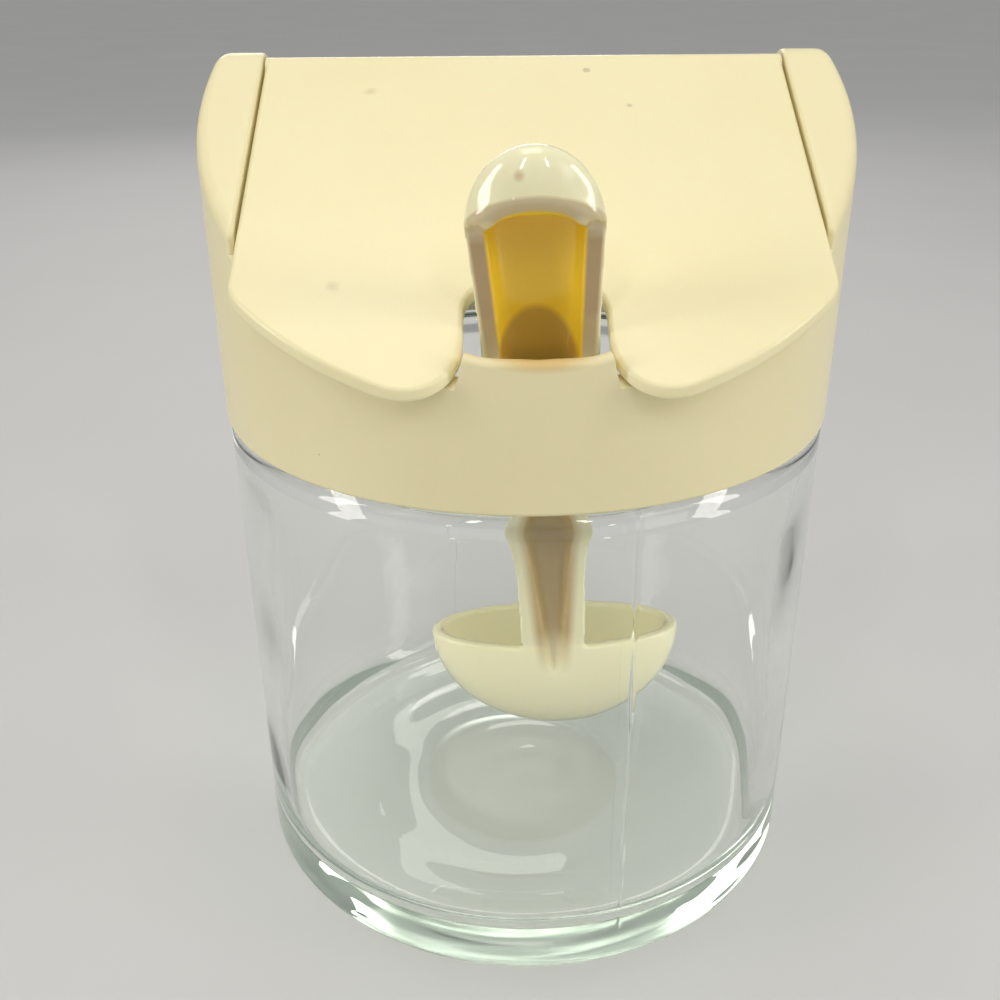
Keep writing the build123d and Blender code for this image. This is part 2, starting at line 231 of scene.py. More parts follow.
def paint_lip_reflection(tree, place, colour):
    """The colour, with a painted warm amber reflection along the lip's crest, as where the amber handle
    shines through the thin edge.
    """
    apart = node(tree, "ShaderNodeSeparateXYZ")
    tree.links.new(place, apart.inputs[0])
    x, y, z = apart.outputs
    away = length_of(
        tree,
        maths(tree, "MULTIPLY_ADD", x, 1 / (GLOW_REACH[0] * MM), -GLOW_MIDDLE[0] / GLOW_REACH[0]),
        maths(tree, "MULTIPLY_ADD", z, 1 / (GLOW_REACH[1] * MM), -GLOW_MIDDLE[1] / GLOW_REACH[1]),
    )
    front = span(tree, y, GLOW_FRONT[0] * MM, GLOW_FRONT[1] * MM)
    glow = maths(tree, "MULTIPLY", span(tree, away, 1.1, 0.4, 0.0, 0.7), front)
    return mix_colour(tree, glow, colour, PAINTED_LIP_REFLECTION)


def smudge(tree, place, ragged, spot, radius, depth):
    """A spot of dirt with a ragged edge: a mask from 0 to depth."""
    away = node(tree, "ShaderNodeVectorMath", operation="DISTANCE")
    tree.links.new(place, away.inputs[0])
    away.inputs[1].default_value = [v * MM for v in spot]
    edge = maths(tree, "MULTIPLY_ADD", ragged, radius * 1.6 * MM, away.outputs["Value"])
    return span(tree, edge, radius * 1.9 * MM, radius * 0.9 * MM, 0.0, depth)


def cream_plastic(name, colour, gloss, speck_scale, smudges=(), lip=False):
    """Moulded cream plastic: clouded, speckled and smudged, pebbled, with light that soaks in a little, and
    a painted amber reflection on the lip's crest where lip is set.
    """
    material, tree, shader = new_material(name)
    skin = place_group(tree, moulded_skin, Colour=colour, Cloud=0.35, Gloss=gloss, Smear=0.12)
    specks = place_group(tree, dirt_specks, Scale=speck_scale, Size=0.085)
    dirt = maths(tree, "MULTIPLY", specks.outputs["Mask"], 0.5)
    place = object_coordinates(tree)
    ragged = noise(tree, place, scale=700.0, detail=3.0)
    for spot, radius, depth in smudges:
        dirt = maths(tree, "MAXIMUM", dirt, smudge(tree, place, ragged, spot, radius, depth))
    dirt_and_lip_reflection = mix_colour(tree, dirt, skin.outputs["Colour"], DIRT)
    # the lip's crest gets a painted amber reflection of the handle on top of the dirt
    if lip:
        dirt_and_lip_reflection = paint_lip_reflection(tree, place, dirt_and_lip_reflection)
    tree.links.new(dirt_and_lip_reflection, shader.inputs["Base Color"])
    tree.links.new(skin.outputs["Roughness"], shader.inputs["Roughness"])
    add_bump(tree, shader, skin.outputs["Height"], 0.1, 0.2 * MM)
    shader.inputs["IOR"].default_value = 1.5
    shader.inputs["Subsurface Weight"].default_value = 0.15
    shader.inputs["Subsurface Radius"].default_value = (1.0, 0.62, 0.25)
    shader.inputs["Subsurface Scale"].default_value = 1.5 * MM
    return material


# ---------------------------------------------------------------- glass
GLASS_DENSITY = 16.0
WORN_RADIUS = 16.5  # of the frosted disc under the foot
WORN_EDGE = 1.0
WORN_HEIGHTS = (1.2, 0.9)  # where the frosting sets in and where it is full
WORN_ROUGHNESS = 0.22
TRAPPED_DEPTH = 5.5  # bounces after which light is let straight out of the glass


def clear_glass():
    """Soda-lime glass, green in its depth, frosted by wear on its foot, with a few fingerprints."""
    material, tree, shader = new_material("clear_glass")
    place = object_coordinates(tree)
    shader.inputs["Transmission Weight"].default_value = 1.0
    shader.inputs["IOR"].default_value = 1.52
    prints = noise(tree, place, scale=55.0, detail=5.0, roughness=0.6)
    smears = span(tree, prints, 0.5, 0.75, 0.0, 0.04)
    apart = node(tree, "ShaderNodeSeparateXYZ")
    tree.links.new(place, apart.inputs[0])
    from_axis = length_of(tree, apart.outputs["X"], apart.outputs["Y"])
    underside = span(tree, apart.outputs["Z"], WORN_HEIGHTS[0] * MM, WORN_HEIGHTS[1] * MM)
    edge = (WORN_RADIUS * MM, (WORN_RADIUS - WORN_EDGE) * MM)
    stippled = span(tree, from_axis, *edge, 0.0, WORN_ROUGHNESS)
    frosted = maths(tree, "MULTIPLY_ADD", stippled, underside, smears)
    greyed = maths(tree, "MULTIPLY", span(tree, stippled, 0.0, WORN_ROUGHNESS), underside)
    tree.links.new(mix_colour(tree, greyed, WHITE, WORN_GLASS), shader.inputs["Base Color"])
    tree.links.new(frosted, shader.inputs["Roughness"])
    add_bump(tree, shader, noise(tree, place, scale=60.0, detail=1.0), 0.05, 1.0 * MM)
    depth = node(tree, "ShaderNodeVolumeAbsorption", Color=GLASS_TINT, Density=GLASS_DENSITY)
    tree.links.new(depth.outputs["Volume"], tree.nodes["Material Output"].inputs["Volume"])
    # Lamps shine through the glass as through a window, and light caught in the heel gets out in the end.
    path = node(tree, "ShaderNodeLightPath")
    window = node(tree, "ShaderNodeBsdfTransparent", Color=WINDOW_GLASS)
    either = node(tree, "ShaderNodeMixShader")
    caught = maths(tree, "GREATER_THAN", path.outputs["Ray Depth"], TRAPPED_DEPTH)
    tree.links.new(maths(tree, "MAXIMUM", path.outputs["Is Shadow Ray"], caught), either.inputs["Fac"])
    tree.links.new(shader.outputs["BSDF"], either.inputs[1])
    tree.links.new(window.outputs["BSDF"], either.inputs[2])
    tree.links.new(either.outputs["Shader"], tree.nodes["Material Output"].inputs["Surface"])
    return material


# ---------------------------------------------------------------- the spoon's plastic
# The frame of the spoon's handle: where it stands on the hook, and its lean in degrees about X, Y and Z.
HANDLE_SEAT = (0.5, -34.6, 85.0)
HANDLE_LEAN = (8.0, -2.7, -3.0)
# Lengths in that frame.
CHANNEL_HALF_WIDTH = 4.05
CHANNEL_TAPER = 0.055  # what the half width gains for each millimetre up
CHANNEL_DEPTH = 2.65
HOOD_FOOT = 14.0
HOOD_HEIGHT = 4.6
VISOR_HEIGHT = 13.9  # of the plane of the hood's opening, above the seat
VISOR_SLOPE = 1.15  # what that plane drops for each millimetre behind
GATE_MARK = (-1.35, -2.59, 20.16)  # across, behind and up
SHADE_FOOT = (-0.4, -1.6)  # across and up, of the arch of shade in the channel
SHADE_SIZE = (4.45, 6.3)  # its half width and its height


def scaled(tree, value, start, size):
    """How far the value is from start, with size as the unit."""
    return maths(tree, "DIVIDE", maths(tree, "SUBTRACT", value, start), size)


def handle_place(tree):
    """A point's place across, behind and up in the handle's frame, in millimetres."""
    along = node(tree, "ShaderNodeMapping", vector_type="TEXTURE")
    along.inputs["Location"].default_value = [v * MM for v in HANDLE_SEAT]
    along.inputs["Rotation"].default_value = [radians(v) for v in HANDLE_LEAN]
    along.inputs["Scale"].default_value = (MM, MM, MM)
    tree.links.new(object_coordinates(tree), along.inputs["Vector"])
    apart = node(tree, "ShaderNodeSeparateXYZ")
    tree.links.new(along.outputs["Vector"], apart.inputs[0])
    return apart.outputs


def channel_reach(tree, across, behind, up):
    """How far out a point lies: 1 on the walls of the channel, about 1.5 on the outside of the handle."""
    half_width = maths(tree, "MULTIPLY_ADD", up, CHANNEL_TAPER, CHANNEL_HALF_WIDTH)
    half_width = maths(tree, "MAXIMUM", half_width, 1.0)
    over = maths(tree, "MAXIMUM", scaled(tree, up, HOOD_FOOT, HOOD_HEIGHT), 0.0)
    sideways = maths(tree, "DIVIDE", across, half_width)
    return length_of(tree, sideways, maths(tree, "DIVIDE", behind, CHANNEL_DEPTH), over)


def channel_mask(tree, reach, up):
    """1 in the channel, with a crisp edge above the cap and a soft one below it, as far as the bowl."""
    crisp = span(tree, reach, 1.10, 1.03)
    soft = span(tree, reach, 1.32, 0.85)
    below = span(tree, up, -6.0, -12.0)
    hollow = maths(tree, "MULTIPLY_ADD", maths(tree, "SUBTRACT", soft, crisp), below, crisp)
    return maths(tree, "MULTIPLY", hollow, span(tree, up, -43.0, -37.0))


def flange_shade_mask(tree, reach, behind, up):
    """Where painted shade makes the handle greyer than the hood and the bowl: its flanges and the hood's
    brow.
    """
    visor = maths(tree, "MULTIPLY_ADD", behind, VISOR_SLOPE, maths(tree, "SUBTRACT", up, VISOR_HEIGHT))
    visor = maths(tree, "ABSOLUTE", visor)
    brow = maths(tree, "MULTIPLY", span(tree, visor, 1.0, 0.5, 0.0, 0.6), span(tree, up, 12.5, 14.0))
    side = maths(tree, "MULTIPLY", span(tree, up, 15.5, 12.5), span(tree, reach, 1.47, 1.36))
    side = maths(tree, "MULTIPLY", side, span(tree, up, -4.0, 5.0))
    return maths(tree, "MAXIMUM", brow, side)


def channel_glow_and_shade(tree, across, up):
    """Painted light: an amber glow where the flap's light shines through, a painted arch of shade below the
    flap's notch, where nothing pale stands behind it, and the CORE colour below the cap.
    """
    rise = maths(tree, "MAXIMUM", scaled(tree, up, SHADE_FOOT[1], SHADE_SIZE[1]), 0.0)
    arch = length_of(tree, scaled(tree, across, SHADE_FOOT[0], SHADE_SIZE[0]), rise)
    amber = mix_colour(tree, span(tree, arch, 1.06, 0.92), PAINTED_AMBER_GLOW, SHADED_AMBER)
    return mix_colour(tree, span(tree, up, -18.0, -4.0), CORE, amber)


def gate_mask(tree, *place):
    """The small spot on the hood where the plastic ran into its mould."""
    away = length_of(tree, *(maths(tree, "SUBTRACT", *pair) for pair in zip(place, GATE_MARK)))
    return span(tree, away, 0.8, 0.3, 0.0, 0.65)


def milky_plastic():
    """Natural translucent plastic, with painted light: an amber glow in the handle's channel, where light
    comes through the thin wall, and painted shade on the flanges and the brow.
    """
    material, tree, shader = new_material("translucent_plastic")
    across, behind, up = handle_place(tree)
    reach = channel_reach(tree, across, behind, up)
    hollow = channel_mask(tree, reach, up)
    skin = place_group(tree, moulded_skin, Colour=MILKY, Cloud=0.3, Gloss=0.11, Smear=0.08)
    # Painted shade darkens the flanges and the brow.
    colour = mix_colour(tree, flange_shade_mask(tree, reach, behind, up), skin.outputs["Colour"], FLANGE_SHADE)
    # The channel gets its painted amber glow and painted shade.
    colour = mix_colour(tree, hollow, colour, channel_glow_and_shade(tree, across, up))
    colour = mix_colour(tree, gate_mask(tree, across, behind, up), colour, GATE_BROWN)
    tree.links.new(colour, shader.inputs["Base Color"])
    tree.links.new(span(tree, hollow, 0.0, 1.0, 0.6, 0.1), shader.inputs["Coat Weight"])
    tree.links.new(skin.outputs["Roughness"], shader.inputs["Roughness"])
    add_bump(tree, shader, skin.outputs["Height"], 0.06, 0.2 * MM)
    shader.inputs["IOR"].default_value = 1.49
    shader.inputs["Coat Roughness"].default_value = 0.04
    shader.inputs["Transmission Weight"].default_value = 0.07
    shader.inputs["Subsurface Weight"].default_value = 0.3
    shader.inputs["Subsurface Radius"].default_value = (1.0, 0.7, 0.35)
    shader.inputs["Subsurface Scale"].default_value = 1.0 * MM
    return material


# ---------------------------------------------------------------- jar
# Radii and heights of the profile.
BODY_RADIUS = 40.0
HEEL_ROUNDING = 3.0
BEARING_RADIUS = 34.5  # of the ring that the jar stands on
FOOT_RISE = 0.3  # of the foot inside that ring
FOOT_STEP = 0.62  # from ring to ring of points under the foot
PUNT_RADIUS = 18.5
PUNT_SLOPE = 6.0
PUNT_HEIGHT = 0.8
SHOULDER_HEIGHT = 66.8
SHOULDER_ROUNDING = 1.8
NECK_RADIUS = 37.9
NECK_FOOT = 68.9
NECK_CORNER = (37.95, 68.62)  # radius and height of the one point that eases the shoulder into the neck
RIM_HEIGHT = 80.7  # where the mouth's edge begins to round
RIM_ROUNDING = 0.9
MOUTH_RADIUS = 35.9
MOUTH_FOOT = 68.3
BORE_RADIUS = 37.2
BORE_TOP = 64.38
FLOOR_HEIGHT = 5.0
FLOOR_ROUNDING = 5.0
WALL_RADIUS = 30.0  # points farther out belong to the wall, not to the foot or the floor
TURN_STEP = 1.5  # degrees from column to column of points

SEAM_ANGLE = 16.3  # degrees round from the front
SEAMS = (SEAM_ANGLE, SEAM_ANGLE + 180.0)
SEAM_HEIGHT = 0.17
SEAM_WIDTH = 0.24
SEAM_STEP = 0.12  # degrees between the columns that follow it

THREAD_START = 72.2  # its height at the front
THREAD_PITCH = 4.6
THREAD_ENDS = (71.5, 78.6)  # lowest and highest
THREAD_HEIGHT = 0.5
THREAD_WIDTH = 0.62

DRAW_DEPTH = 0.03  # of the long waves on the outside
# Waves on the inside: their height, how many go round, radians for each millimetre up, and their offset.
WAVES = ((0.08, 5, 0.06, 0.0), (0.05, 11, -0.04, 1.0), (0.05, 2, 0.21, 0.0))
RIPPLE_HEIGHT = 0.08


def arc(centre_r, centre_z, radius, start, end, steps):
    """Points of an arc in the profile, degrees from the outward direction."""
    turns = [radians(start + (end - start) * i / steps) for i in range(steps + 1)]
    return [(centre_r + radius * cos(t), centre_z + radius * sin(t)) for t in turns]


def straight(start, end, steps):
    """Evenly spaced points after start, up to and with end."""
    return [tuple(a + (b - a) * i / steps for a, b in zip(start, end)) for i in range(1, steps + 1)]


def ramp(value, start, full):
    """From 0 at start to 1 at full, softly at both ends."""
    share = min(max((value - start) / (full - start), 0.0), 1.0)
    return share * share * (3 - 2 * share)


def foot_height(radius):
    """The jar's underside: a bearing ring, a slight rise inside it and the shallow punt."""
    rise = FOOT_RISE * (1 - min(radius / BEARING_RADIUS, 1.0) ** 2)
    return rise + (PUNT_HEIGHT - FOOT_RISE) * ramp(radius, PUNT_RADIUS, PUNT_RADIUS - PUNT_SLOPE)


def jar_profile():
    """Up the outside from the middle of the foot, and down the inside to the middle of the floor."""
    points = [(FOOT_STEP * i, foot_height(FOOT_STEP * i)) for i in range(60)]
    points += arc(BODY_RADIUS - HEEL_ROUNDING, HEEL_ROUNDING, HEEL_ROUNDING, -90, 0, 14)
    points += straight((BODY_RADIUS, HEEL_ROUNDING), (BODY_RADIUS, SHOULDER_HEIGHT), 40)
    points += arc(BODY_RADIUS - SHOULDER_ROUNDING, SHOULDER_HEIGHT, SHOULDER_ROUNDING, 0, 90, 10)
    points += [NECK_CORNER, (NECK_RADIUS, NECK_FOOT)]
    points += straight((NECK_RADIUS, NECK_FOOT), (NECK_RADIUS, RIM_HEIGHT), 48)
    points += arc(NECK_RADIUS - RIM_ROUNDING, RIM_HEIGHT, RIM_ROUNDING, 0, 90, 6)
    points += arc(MOUTH_RADIUS + RIM_ROUNDING, RIM_HEIGHT, RIM_ROUNDING, 90, 180, 6)
    points += straight((MOUTH_RADIUS, RIM_HEIGHT), (MOUTH_RADIUS, MOUTH_FOOT), 8)
    for phase, z in straight((0.0, MOUTH_FOOT), (pi, BORE_TOP), 14):
        points.append((MOUTH_RADIUS + (BORE_RADIUS - MOUTH_RADIUS) * (0.5 - 0.5 * cos(phase)), z))
    points += straight((BORE_RADIUS, BORE_TOP), (BORE_RADIUS, FLOOR_HEIGHT + FLOOR_ROUNDING), 30)
    corner = BORE_RADIUS - FLOOR_ROUNDING
    points += arc(corner, FLOOR_HEIGHT + FLOOR_ROUNDING, FLOOR_ROUNDING, 0, -90, 14)
    points += straight((corner, FLOOR_HEIGHT), (0.0, FLOOR_HEIGHT), 40)
    kept = points[:1]
    kept += [p for a, p in zip(points, points[1:]) if abs(a[0] - p[0]) + abs(a[1] - p[1]) > 1e-4]
    return kept


def turn_angles():
    """Angles round the jar, crowded where the two mould seams run."""
    angles = {round(i * TURN_STEP, 3) for i in range(round(360 / TURN_STEP))}
    for seam in SEAMS:
        angles |= {round((seam + SEAM_STEP * i) % 360, 3) for i in range(-12, 13)}
    return sorted(angles)


def seam_bulge(degrees, z):
    """The fine ridge where the two halves of the mould met, which wanders a little."""
    wander = 0.35 * sin(z / 23.0) + 0.1 * sin(z / 5.0)
    height = 0.0
    for seam in SEAMS:
        away = (degrees - seam - wander + 180.0) % 360.0 - 180.0
        height += SEAM_HEIGHT * exp(-((radians(away) * BODY_RADIUS / SEAM_WIDTH) ** 2))
    return height * (0.8 + 0.2 * sin(z / 3.1)) * ramp(z, 4.0, 12.0)


def jar_radius(radius, z, degrees, outside):
    """The profile's radius with the seam, the thread and the drawn waves of the glass."""
    turn = radians(degrees)
    if outside and 1.0 < z < 68.0 and radius > WALL_RADIUS:
        radius += seam_bulge(degrees, z)
        draw = 1 + sin(3 * turn + z / 16.0)
        radius -= DRAW_DEPTH * draw * ramp(z, 3.0, 9.0) * ramp(z, 66.0, 60.0)
    if outside and z > NECK_FOOT and radius > NECK_RADIUS - 0.4:
        for lap in range(-1, 3):
            ridge = THREAD_START + THREAD_PITCH * (degrees / 360.0 + lap)
            if THREAD_ENDS[0] < ridge < THREAD_ENDS[1]:
                radius += THREAD_HEIGHT * exp(-(((z - ridge) / THREAD_WIDTH) ** 2))
    if not outside and 6.0 < z < 64.0 and radius > WALL_RADIUS:
        wave = sum(a * sin(laps * turn + climb * z + offset) for a, laps, climb, offset in WAVES)
        radius += wave * ramp(z, 6.0, 12.0) * ramp(z, 64.0, 59.0)
    return radius


def floor_ripple(radius, degrees):
    """Low rings in the jar's floor, left by the plunger that pressed it."""
    rings = sin(0.9 * radius + 0.6 * sin(2 * radians(degrees)))
    return RIPPLE_HEIGHT * rings * ramp(radius, 31.0, 25.0)


def turned_jar():
    """The profile turned round the axis, closed at the middle of the foot and of the floor."""
    profile = jar_profile()
    top = max(range(len(profile)), key=lambda i: profile[i][1])
    angles = turn_angles()
    vertices, faces = [], []
    for degrees in angles:
        turn = radians(degrees)
        for i, (radius, z) in enumerate(profile[1:-1], start=1):
            r = jar_radius(radius, z, degrees, i <= top)
            if i > top and z < FLOOR_HEIGHT + 0.001:
                z += floor_ripple(radius, degrees)
            vertices.append((r * sin(turn) * MM, -r * cos(turn) * MM, z * MM))
    rows, laps = len(profile) - 2, len(angles)
    for lap in range(laps):
        here, there = lap * rows, (lap + 1) % laps * rows
        faces += [(here + i, there + i, there + i + 1, here + i + 1) for i in range(rows - 1)]
    foot, floor = len(vertices), len(vertices) + 1
    vertices += [(0, 0, profile[0][1] * MM), (0, 0, profile[-1][1] * MM)]
    for lap in range(laps):
        here, there = lap * rows, (lap + 1) % laps * rows
        faces += [(foot, there, here), (floor, here + rows - 1, there + rows - 1)]
    mesh = bpy.data.meshes.new("jar_glass")
    mesh.from_pydata(vertices, [], faces)
    mesh.polygons.foreach_set("use_smooth", [True] * len(mesh.polygons))
    mesh.update()
    jar = bpy.data.objects.new("jar_glass", mesh)
    bpy.context.scene.collection.objects.link(jar)
    return jar


def finish_jar():
    jar = turned_jar()
    jar.data.materials.append(clear_glass())
    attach(jar, "jar")
    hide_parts("glass_jar")


# ---------------------------------------------------------------- shared by cap, flap and spoon
EDGE_ANGLE = 32.0  # degrees between two faces, from which their edge stays sharp


def copied_node(name, source):
    """A new piece with the mesh of a CAD node, which it replaces on the same body."""
    piece = bpy.data.objects.new(name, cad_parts[source].data.copy())
    piece.data.name = name
    bpy.context.scene.collection.objects.link(piece)
    return piece


def joined_shape(piece):
    """The piece's mesh as one closed skin, free of its old shading."""
    if "custom_normal" in piece.data.attributes:
        piece.data.attributes.remove(piece.data.attributes["custom_normal"])
    shape = bmesh.new()
    shape.from_mesh(piece.data)
    bmesh.ops.remove_doubles(shape, verts=shape.verts, dist=1e-7)
    return shape


def take_shape(piece, shape):
    """Puts the shape on the piece, shaded smooth but for its true edges."""
    shape.to_mesh(piece.data)
    shape.free()
    piece.data.polygons.foreach_set("use_smooth", [True] * len(piece.data.polygons))
    piece.data.set_sharp_from_angle(angle=radians(EDGE_ANGLE))
    piece.modifiers.new("face_normals", "WEIGHTED_NORMAL").keep_sharp = True


def coat(piece, material):
    """Gives the piece this material alone."""
    piece.data.materials.clear()
    piece.data.materials.append(material)


# ---------------------------------------------------------------- cap
LIP_FOOT = 83.2  # height from which the lip is drawn up
LIP_LOW = 85.0  # of the middle of its crest
LIP_DIP = 1.8  # how far its ends stand above the middle
LIP_HALF_WIDTH = 7.3
LIP_BORE = 38.6
LIP_WALL = 1.5  # points up to this far behind the bore's front belong to the lip
LIP_ROUNDING = 0.6
LIP_CROWN = 1.25  # what its middle gains
CROWN_ENDS = (1.15, 0.15)  # in half widths from the middle, where the gain sets in and where it is full


def finish_cap(material):
    """The cap, with the dip of its lip filled until its crest runs nearly level."""
    piece = copied_node("cream_cap", "cap")
    shape = joined_shape(piece)
    for vertex in shape.verts:
        x, y, z = vertex.co / MM
        if abs(x) < LIP_HALF_WIDTH and y < -LIP_BORE + LIP_WALL and z > LIP_FOOT:
            crest = LIP_LOW + LIP_DIP * (x / LIP_HALF_WIDTH) ** 2
            share = ramp(z, LIP_FOOT, crest - LIP_ROUNDING)
            vertex.co.z += LIP_CROWN * ramp(abs(x) / LIP_HALF_WIDTH, *CROWN_ENDS) * share * MM
    take_shape(piece, shape)
    coat(piece, material)
    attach(piece, "cap")
    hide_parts("cap")


# ---------------------------------------------------------------- flap
HINGE = (7.5, 108.946)  # y and z of the hinge's axis
SLOPE = 29.0
FLAP_LIFT = 0.4  # of the flap's underside above the hinge's axis, square to the slope
FLAP_THICKNESS = 1.8
DIP_START = (7.6, -31.0)  # x and y of the crease where the right-hand thumb dip begins
DIP_END = (18.0, -40.0)
DIP_SPREAD = 62.0  # square millimetres from the crease for each millimetre of depth
DIP_BELOW = 0.3  # how much of the dip the flap's underside takes
# The finer mesh for the dips: its step, its columns from DIP_INSIDE outwards, its rows from DIP_FRONT back.
DIP_GRID = 0.8
DIP_INSIDE = 7.0
DIP_COLUMNS = 19
DIP_FRONT = -45.0
DIP_ROWS = 23
# Dirt on the flap's face: where, how wide and how strong.
FLAP_SMUDGES = (
    ((-21.5, -29.1, 91.2), 0.85, 0.35),
    ((12.7, -2.1, 106.1), 0.5, 0.6),
    ((-19.3, 0.6, 107.6), 0.8, 0.35),
    ((-32.8, -16.1, 98.4), 0.45, 0.3),
)


def thumb_dip(x, y):
    """How deep the soft dips lie beside the notch, where a thumb lifts the flap."""
    start, end = Vector(DIP_START), Vector(DIP_END)
    along = (end - start).normalized()
    towards_notch = Vector((along.y, -along.x))
    away = (Vector((abs(x), y)) - start).dot(towards_notch)
    return max(away, 0.0) ** 2 / DIP_SPREAD


def cut_across(shape, point, normal):
    """Runs new edges through the whole shape along a plane."""
    everything = [*shape.verts, *shape.edges, *shape.faces]
    bmesh.ops.bisect_plane(shape, geom=everything, dist=1e-7, plane_co=point, plane_no=normal)


def finish_flap(material):
    """The flap, cut into a finer mesh where its thumb dips are pressed in."""
    piece = copied_node("flap_lid", "flap")
    shape = joined_shape(piece)
    for step in range(DIP_COLUMNS):
        x = (DIP_INSIDE + DIP_GRID * step) * MM
        cut_across(shape, (x, 0, 0), (1, 0, 0))
        cut_across(shape, (-x, 0, 0), (1, 0, 0))
    for step in range(DIP_ROWS):
        cut_across(shape, (0, (DIP_FRONT + DIP_GRID * step) * MM, 0), (0, 1, 0))
    square = Vector((0, -sin(radians(SLOPE)), cos(radians(SLOPE))))
    hinge = Vector((0, HINGE[0], HINGE[1])) * MM
    for vertex in shape.verts:
        depth = thumb_dip(vertex.co.x / MM, vertex.co.y / MM)
        lift = ((vertex.co - hinge).dot(square) / MM - FLAP_LIFT) / FLAP_THICKNESS
        vertex.co -= square * depth * (DIP_BELOW + (1 - DIP_BELOW) * lift) * MM
    take_shape(piece, shape)
    coat(piece, material)
    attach(piece, "flap")
    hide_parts("flap")


# ---------------------------------------------------------------- spoon
VOXEL = 0.25  # size of the cells that the spoon is cast again in
MELT_PASSES = 10  # of smoothing, which rounds its edges
GATE_HEIGHT = 0.15
GATE_WIDTH = 0.55
GATE_REACH = 1.5  # beyond it the gate's mark moves nothing
STEM_WAIST = 0.05  # how much slimmer the stem is below the cap than the CAD solid's
STEM_GAIN = 0.23  # how much it widens from there down to the bowl
BROW_DROP = 1.3  # how far the hood's brow comes down over the channel
CORNER_DROP = 0.9  # and its ends, which rounds the opening's corners
# The wedge that lets the channel run out on the bowl: behind and up of its corners, and half its width.
RUN_OUT = ((1.5, -35.0), (0.1, -40.5), (-0.7, -43.5), (0.5, -43.5), (1.1, -40.0), (2.6, -35.0))
RUN_OUT_HALF_WIDTH = 2.0


def moulded_handle(held):
    """Moves a point of the spoon, in the handle's frame, to the fuller forms of the moulding.

    Each ramp names the place in millimetres where a change sets in and the one where it is full.
    """
    gain = STEM_GAIN * ramp(held.z, -27.0, -38.0) - STEM_WAIST * ramp(held.z, -14.0, -20.0)
    held.x *= 1 + gain * ramp(held.z, -43.0, -38.0) * ramp(abs(held.x), 6.5, 4.0)
    corner = ramp(abs(held.x), 2.8, 4.6) * ramp(abs(held.x), 6.0, 4.6) * ramp(held.y, 1.2, -0.3)
    corner *= ramp(abs(held.z + VISOR_SLOPE * held.y - VISOR_HEIGHT), 1.8, 0.0)
    drop = BROW_DROP * ramp(held.y, 0.0, -2.0) + CORNER_DROP * corner
    held.z -= drop * ramp(held.z, 10.5, 14.0) * ramp(held.z, 22.4, 18.9)


def add_run_out(shape):
    """The wedge at the foot of the channel, in the handle's frame."""
    sides = []
    for across in (-RUN_OUT_HALF_WIDTH, RUN_OUT_HALF_WIDTH):
        sides.append([shape.verts.new((across, behind, up)) for behind, up in RUN_OUT])
    left, right = sides
    shape.faces.new(left)
    shape.faces.new(reversed(right))
    for i in range(len(RUN_OUT)):
        shape.faces.new((left[i - 1], right[i - 1], right[i], left[i]))


def worked_in(piece):
    """Turns the piece's modifiers into its mesh."""
    done = piece.evaluated_get(bpy.context.evaluated_depsgraph_get())
    mesh = bpy.data.meshes.new_from_object(done)
    piece.modifiers.clear()
    piece.data = mesh
    return mesh


def finish_spoon(material):
    """Casts the spoon anew, its edges run together as in a moulding, with the gate's mark on its hood."""
    piece = copied_node("milky_spoon", "spoon")
    shape = joined_shape(piece)
    lean = Euler([radians(v) for v in HANDLE_LEAN]).to_matrix()
    for vertex in shape.verts:
        vertex.co = lean.transposed() @ (vertex.co / MM - Vector(HANDLE_SEAT))
    add_run_out(shape)
    bmesh.ops.recalc_face_normals(shape, faces=shape.faces)
    shape.to_mesh(piece.data)
    shape.free()
    recast = piece.modifiers.new("recast", "REMESH")
    recast.mode = "VOXEL"
    recast.voxel_size = VOXEL
    for vertex in worked_in(piece).vertices:
        moulded_handle(vertex.co)
    melt = piece.modifiers.new("melt", "SMOOTH")
    melt.factor, melt.iterations = 0.5, MELT_PASSES
    mesh = worked_in(piece)
    for vertex in mesh.vertices:
        near = (vertex.co - Vector(GATE_MARK)).length
        if near < GATE_REACH:
            vertex.co += vertex.normal * GATE_HEIGHT * exp(-((near / GATE_WIDTH) ** 2))
        vertex.co = (lean @ vertex.co + Vector(HANDLE_SEAT)) * MM
    mesh.polygons.foreach_set("use_smooth", [True] * len(mesh.polygons))
    coat(piece, material)
    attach(piece, "spoon")
    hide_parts("spoon")


# ---------------------------------------------------------------- room
TABLE_HALF_SIZE = 12.0
TABLE_DROP = 0.1 * MM  # from the jar's foot, so that air lies between the two
SKY_RISE = (0.1, 0.6)  # between these heights of view the walls turn into the ceiling

# Lamps: name, place, height of the point on the axis that they face, width, depth and watts.
LAMPS = (
    ("overhead", (-0.05, 0.0, 0.80), 0.08, 0.45, 0.35, 1.22),
    ("window", (0.50, -0.36, 0.46), 0.05, 0.22, 0.22, 0.22),
    ("rear", (-0.10, 0.66, 0.34), 0.04, 0.44, 0.12, 0.55),
)
# Lamps that stand at both sides, each with the place of the right-hand one.
PAIRED_LAMPS = (
    ("strip", (0.17, -0.40, 0.50), 0.08, 0.03, 0.18, 0.27),
    ("panel", (0.50, -0.16, 0.24), 0.06, 0.10, 0.40, 0.85),
    ("door", (0.28, -0.54, 0.12), 0.10, 0.025, 0.09, 0.05),
)

CAMERA_LENS = 40.58
CAMERA_SENSOR = 36.0
CAMERA_CLIP = 5.0 * MM
CAMERA_AZIMUTH = -0.58
CAMERA_ELEVATION = 26.03
CAMERA_ROLL = -0.426
CAMERA_DISTANCE = 0.1641
CAMERA_AIM = (-0.003545, 0.000036, 0.05139)


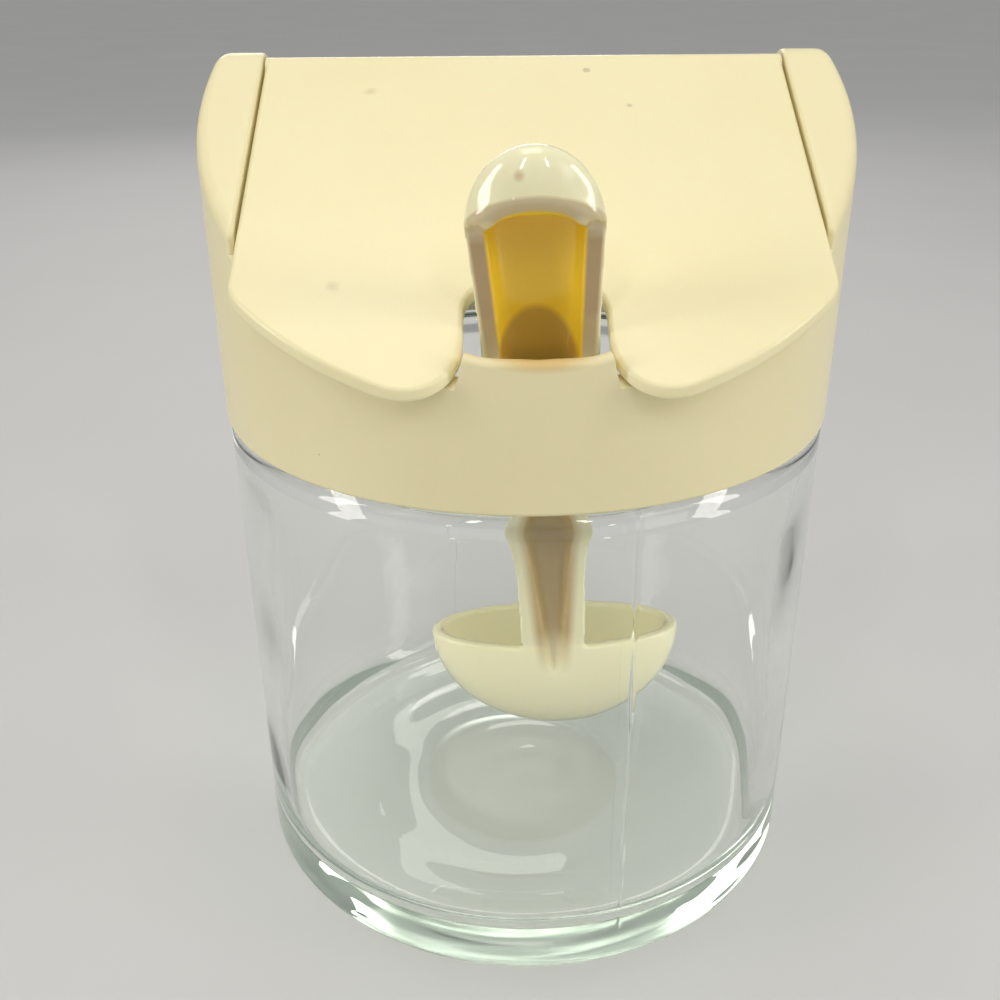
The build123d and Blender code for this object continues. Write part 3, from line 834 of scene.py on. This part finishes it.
def pale_table():
    material, tree, shader = new_material("pale_table")
    grain = noise(tree, object_coordinates(tree), scale=9.0, detail=6.0)
    tree.links.new(mix_colour(tree, grain, *TABLE_GREYS), shader.inputs["Base Color"])
    shader.inputs["Roughness"].default_value = 0.6
    return material


def lay_table():
    """A table just below the jar's foot."""
    corners = [(-1, -1), (1, -1), (1, 1), (-1, 1)]
    mesh = bpy.data.meshes.new("table_top")
    vertices = [(TABLE_HALF_SIZE * x, TABLE_HALF_SIZE * y, -TABLE_DROP) for x, y in corners]
    mesh.from_pydata(vertices, [], [(0, 1, 2, 3)])
    table = bpy.data.objects.new("table_top", mesh)
    bpy.context.scene.collection.objects.link(table)
    mesh.materials.append(pale_table())


def hang_lamp(name, place, aim_height, width, depth, watts):
    """A soft rectangular lamp that faces a point on the jar's axis."""
    lamp = bpy.data.lights.new(name, "AREA")
    lamp.shape = "RECTANGLE"
    lamp.size, lamp.size_y = width, depth
    lamp.energy = watts
    lamp.color = LAMP_COLOUR
    holder = bpy.data.objects.new(name, lamp)
    bpy.context.scene.collection.objects.link(holder)
    holder.location = place
    holder.rotation_mode = "QUATERNION"
    holder.rotation_quaternion = (Vector((0, 0, aim_height)) - Vector(place)).to_track_quat("-Z", "Y")


def light_room():
    """A pale ceiling over grey walls, lamps overhead, at the right and behind, and a row at each side."""
    world = bpy.data.worlds.new("studio")
    bpy.context.scene.world = world
    world.use_nodes = True
    tree = world.node_tree
    apart = node(tree, "ShaderNodeSeparateXYZ")
    tree.links.new(node(tree, "ShaderNodeTexCoord").outputs["Generated"], apart.inputs[0])
    height = span(tree, apart.outputs["Z"], *SKY_RISE)
    tree.links.new(mix_colour(tree, height, WALLS, CEILING), tree.nodes["Background"].inputs["Color"])
    tree.nodes["Background"].inputs["Strength"].default_value = 1.0
    for lamp in LAMPS:
        hang_lamp(*lamp)
    for side in (-1, 1):
        for name, (x, y, z), *rest in PAIRED_LAMPS:
            hang_lamp(f"{name}_{side + 2}", (x * side, y, z), *rest)


def set_camera():
    """Stands in front, a little to the left, looking down at the flap."""
    lens = bpy.data.cameras.new("camera")
    lens.lens = CAMERA_LENS
    lens.sensor_width = CAMERA_SENSOR
    lens.clip_start = CAMERA_CLIP
    camera = bpy.data.objects.new("camera", lens)
    bpy.context.scene.collection.objects.link(camera)
    turn = Matrix.Rotation(radians(CAMERA_AZIMUTH), 4, "Z")
    turn = turn @ Matrix.Rotation(radians(90 - CAMERA_ELEVATION), 4, "X")
    turn = turn @ Matrix.Rotation(radians(CAMERA_ROLL), 4, "Z")
    back = turn.to_3x3() @ Vector((0, 0, 1))
    camera.matrix_world = Matrix.Translation(Vector(CAMERA_AIM) + CAMERA_DISTANCE * back) @ turn
    bpy.context.scene.camera = camera
    bpy.context.scene.view_settings.view_transform = "Standard"


# ---------------------------------------------------------------- the whole
finish_jar()
finish_cap(cream_plastic("cream_plastic", CREAM, gloss=0.30, speck_scale=130.0, lip=True))
finish_flap(cream_plastic("flap_plastic", LID_CREAM, gloss=0.28, speck_scale=120.0, smudges=FLAP_SMUDGES))
finish_spoon(milky_plastic())

lay_table()
light_room()
set_camera()
